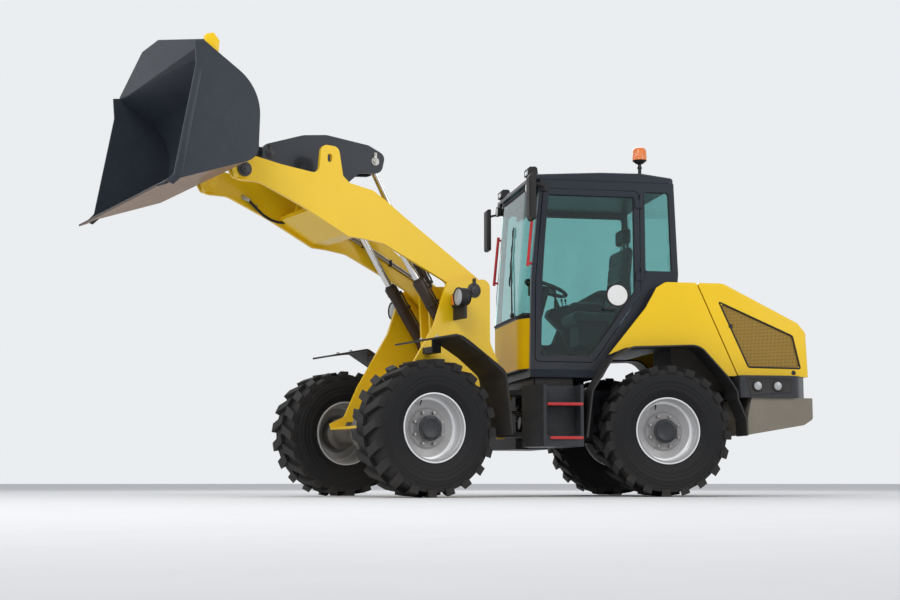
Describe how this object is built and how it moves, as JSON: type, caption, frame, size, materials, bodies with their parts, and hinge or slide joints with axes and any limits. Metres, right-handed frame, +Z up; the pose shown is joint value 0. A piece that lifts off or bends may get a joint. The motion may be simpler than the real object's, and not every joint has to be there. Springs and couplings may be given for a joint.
{
  "type": "wheel loader",
  "caption": "Compact articulated wheel loader with glazed cab, raised bucket on a linked boom, tilting rear hood and dished wheels",
  "frame": {"origin": "middle of the footprint on the ground", "axes": "+X forward, +Y to the machine's left, +Z up"},
  "size_m": [6.1074, 3.0294, 3.5089],
  "materials": {
    "beacon_orange": "gloss",
    "black_plastic": "matte",
    "cast_grey": "rough",
    "chrome_rod": "polished",
    "cylinder_brown": "satin",
    "dark_paint": "satin",
    "glass_tinted": "gloss",
    "lamp": "gloss",
    "red_paint": "gloss",
    "rim_paint": "satin",
    "seat_cloth": "woven",
    "tyre_rubber": "matte",
    "yellow_paint": "gloss"
  },
  "bodies": {
    "chassis": {"rear_frame": "dark_paint", "rear_axle": "cast_grey", "counterweight": "cast_grey", "rear_bumper": "dark_paint", "tail_lights": "lamp", "hood_front": "yellow_paint", "engine": "cast_grey", "cab_base": "dark_paint", "cab_frame": "dark_paint", "cab_roof": "dark_paint", "windscreen": "glass_tinted", "rear_window": "glass_tinted", "right_window": "glass_tinted", "quarter_window": "glass_tinted", "beacon": "beacon_orange", "mirrors": "black_plastic", "seat_base": "black_plastic", "seat_cushion": "seat_cloth", "seat_back": "seat_cloth", "steering_column": "black_plastic", "steering_wheel": "black_plastic", "step_box": "dark_paint", "side_tank": "dark_paint", "tow_coupling": "dark_paint", "rear_fenders": "black_plastic", "roof_lights": "lamp", "handrails": "red_paint"},
    "hood": {"engine_hood": "yellow_paint", "grille_left": "black_plastic", "grille_right": "black_plastic", "grille_rear": "black_plastic"},
    "door": {"door_frame": "dark_paint", "door_glass": "glass_tinted"},
    "front": {"front_frame": "yellow_paint", "front_axle": "cast_grey", "front_fender_left": "black_plastic", "front_fender_right": "black_plastic", "head_lights": "lamp"},
    "boom": {"boom": "yellow_paint"},
    "lever": {"lever": "dark_paint"},
    "link": {"link": "dark_paint"},
    "bucket": {"quick_hitch": "yellow_paint", "bucket": "dark_paint"},
    "lift_barrels": {"lift_barrels": "cylinder_brown"},
    "lift_rods": {"lift_rods": "chrome_rod"},
    "tilt_barrel": {"tilt_barrel": "cylinder_brown"},
    "tilt_rod": {"tilt_rod": "chrome_rod"},
    "steering_barrel": {"steering_barrel": "cylinder_brown"},
    "steering_rod": {"steering_rod": "chrome_rod"},
    "wheel_front_left": {"tyre_front_left": "tyre_rubber", "rim_front_left": "rim_paint"},
    "wheel_front_right": {"tyre_front_right": "tyre_rubber", "rim_front_right": "rim_paint"},
    "wheel_rear_left": {"tyre_rear_left": "tyre_rubber", "rim_rear_left": "rim_paint"},
    "wheel_rear_right": {"tyre_rear_right": "tyre_rubber", "rim_rear_right": "rim_paint"}
  },
  "joints": [
    {"name": "steering", "type": "hinge", "parent": "chassis", "child": "front", "pos_m": [-0.52673, -0.52717, 0.69987], "axis": [0, 0, 1], "range_deg": [-55.9, 18.1]},
    {"name": "boom_lift", "type": "hinge", "parent": "front", "child": "boom", "pos_m": [-0.03666, -0.35938, 1.69987], "axis": [0.3239, -0.9461, 0], "range_deg": [-62, 26]},
    {"name": "bucket_tilt", "type": "hinge", "parent": "boom", "child": "bucket", "pos_m": [1.89335, 0.30141, 2.51987], "axis": [-0.3239, 0.9461, 0], "range_deg": [-60, 22]},
    {"name": "lever_pivot", "type": "hinge", "parent": "boom", "child": "lever", "pos_m": [1.13649, 0.04228, 2.50987], "axis": [0.3239, -0.9461, 0], "range_deg": [-35, 15]},
    {"name": "link_pivot", "type": "hinge", "parent": "bucket", "child": "link", "pos_m": [1.90755, 0.30627, 2.83987], "axis": [-0.3239, 0.9461, 0], "range_deg": [-10, 20]},
    {"name": "lift_swing", "type": "hinge", "parent": "front", "child": "lift_barrels", "pos_m": [-0.0745, -0.37234, 1.04987], "axis": [0.3239, -0.9461, 0], "range_deg": [-45, 20]},
    {"name": "lift_slide", "type": "slide", "parent": "lift_barrels", "child": "lift_rods", "axis": [0.5202, 0.1781, 0.8352], "range_m": [-0.46, 0.2]},
    {"name": "tilt_swing", "type": "hinge", "parent": "front", "child": "tilt_barrel", "pos_m": [0.13364, -0.30108, 1.68987], "axis": [0.3239, -0.9461, 0], "range_deg": [-75, 32]},
    {"name": "tilt_slide", "type": "slide", "parent": "tilt_barrel", "child": "tilt_rod", "axis": [0.4476, 0.1533, 0.881], "range_m": [-0.12, 0.3]},
    {"name": "door_hinge", "type": "hinge", "parent": "chassis", "child": "door", "pos_m": [-1.59073, 0.16683, 1.89987], "axis": [0, 0, 1], "range_deg": [0, 95]},
    {"name": "hood_hinge", "type": "hinge", "parent": "chassis", "child": "hood", "pos_m": [-2.04873, -0.52717, 1.79987], "axis": [0, 1, 0], "range_deg": [0, 50]},
    {"name": "steering_swing", "type": "hinge", "parent": "chassis", "child": "steering_barrel", "pos_m": [-1.06873, -0.40717, 0.69987], "axis": [0, 0, 1], "range_deg": [-15, 6]},
    {"name": "steering_slide", "type": "slide", "parent": "steering_barrel", "child": "steering_rod", "axis": [0.9777, 0.2101, 0], "range_m": [-0.1, 0.22]},
    {"name": "wheel_front_left_spin", "type": "hinge", "parent": "front", "child": "wheel_front_left", "pos_m": [0.33727, 0.59838, 0.53487], "axis": [-0.3239, 0.9461, 0], "continuous": true},
    {"name": "wheel_front_right_spin", "type": "hinge", "parent": "front", "child": "wheel_front_right", "pos_m": [0.84582, -0.88698, 0.53487], "axis": [-0.3239, 0.9461, 0], "continuous": true},
    {"name": "wheel_rear_left_spin", "type": "hinge", "parent": "chassis", "child": "wheel_rear_left", "pos_m": [-1.70873, 0.25783, 0.53487], "axis": [0, 1, 0], "continuous": true},
    {"name": "wheel_rear_right_spin", "type": "hinge", "parent": "chassis", "child": "wheel_rear_right", "pos_m": [-1.70873, -1.31217, 0.53487], "axis": [0, 1, 0], "continuous": true}
  ],
  "couplings": [
    {"joint": "lift_swing", "follows": "boom_lift", "ratio": 0.66},
    {"joint": "lift_slide", "follows": "boom_lift", "m_per_rad": 0.41},
    {"joint": "tilt_swing", "follows": "boom_lift", "ratio": 1.15},
    {"joint": "lever_pivot", "follows": "bucket_tilt", "ratio": 0.5},
    {"joint": "link_pivot", "follows": "bucket_tilt", "ratio": -0.2},
    {"joint": "tilt_slide", "follows": "bucket_tilt", "m_per_rad": -0.27},
    {"joint": "steering_swing", "follows": "steering", "ratio": 0.24},
    {"joint": "steering_slide", "follows": "steering", "m_per_rad": -0.19}
  ]
}
